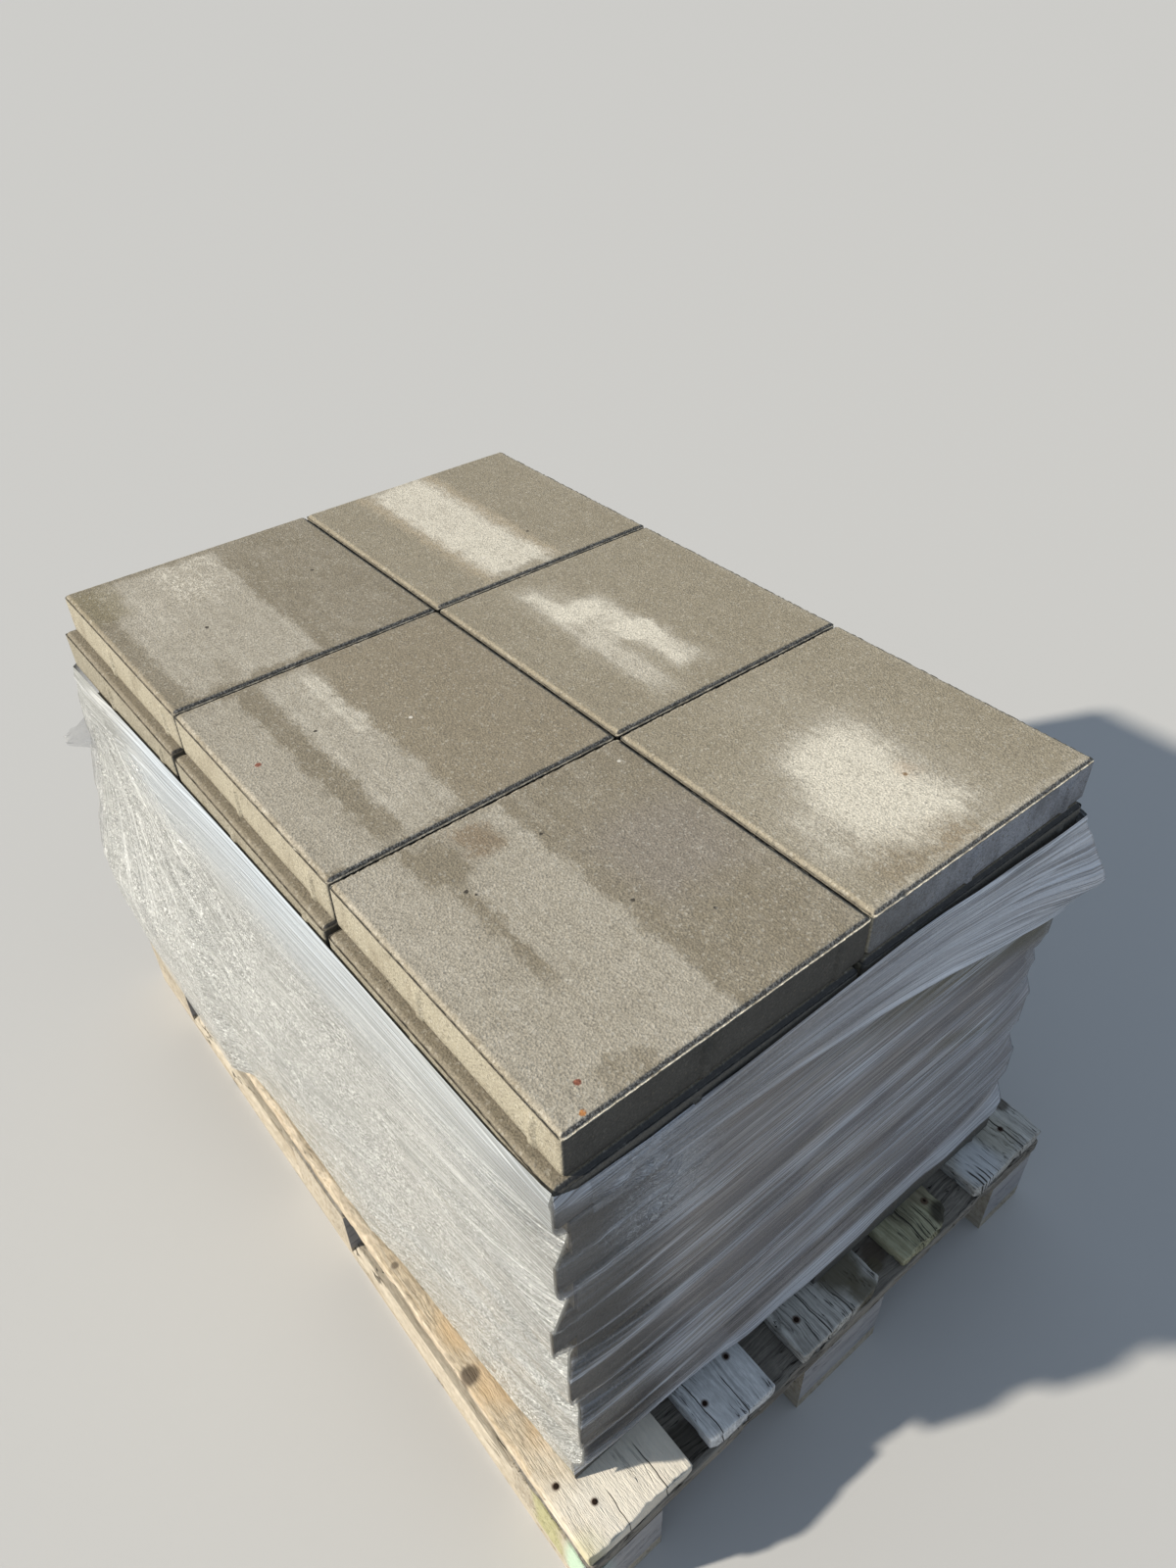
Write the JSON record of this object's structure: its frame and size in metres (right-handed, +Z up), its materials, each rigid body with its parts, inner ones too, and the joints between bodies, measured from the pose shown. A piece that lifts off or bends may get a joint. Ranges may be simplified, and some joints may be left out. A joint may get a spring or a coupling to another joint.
{
  "type": "pallet of paving slabs",
  "caption": "Layers of square concrete paving slabs stacked on a wooden block pallet, held by loose stretch wrap, with fork pockets on all sides.",
  "frame": {"origin": "on the floor, at the middle of the pallet's underside", "axes": "+Z up; +Y along the pallet's long side, away from the end that the picture shows; +X to the right across it"},
  "size_m": [0.819, 1.2, 0.7716],
  "materials": {
    "concrete": "rough",
    "wood": "rough sawn",
    "film": "clear film"
  },
  "bodies": {
    "root": {"top_slab_1": "concrete", "top_slab_2": "concrete", "top_slab_3": "concrete", "top_slab_4": "concrete", "top_slab_5": "concrete", "top_slab_6": "concrete", "second_slab_1": "concrete", "second_slab_2": "concrete", "second_slab_3": "concrete", "second_slab_4": "concrete", "second_slab_5": "concrete", "second_slab_6": "concrete", "slab_layer_03": "concrete", "slab_layer_04": "concrete", "slab_layer_05": "concrete", "slab_layer_06": "concrete", "slab_layer_07": "concrete", "slab_layer_08": "concrete", "slab_layer_09": "concrete", "slab_layer_10": "concrete", "slab_layer_11": "concrete", "slab_layer_12": "concrete", "deck_board_1": "wood", "deck_board_2": "wood", "deck_board_3": "wood", "deck_board_4": "wood", "deck_board_5": "wood", "stringer_board_1": "wood", "stringer_board_2": "wood", "stringer_board_3": "wood", "block_1_1": "wood", "block_1_2": "wood", "block_1_3": "wood", "block_2_1": "wood", "block_2_2": "wood", "block_2_3": "wood", "block_3_1": "wood", "block_3_2": "wood", "block_3_3": "wood", "bottom_board_1": "wood", "bottom_board_2": "wood", "bottom_board_3": "wood", "stretch_wrap": "film"}
  },
  "joints": []
}
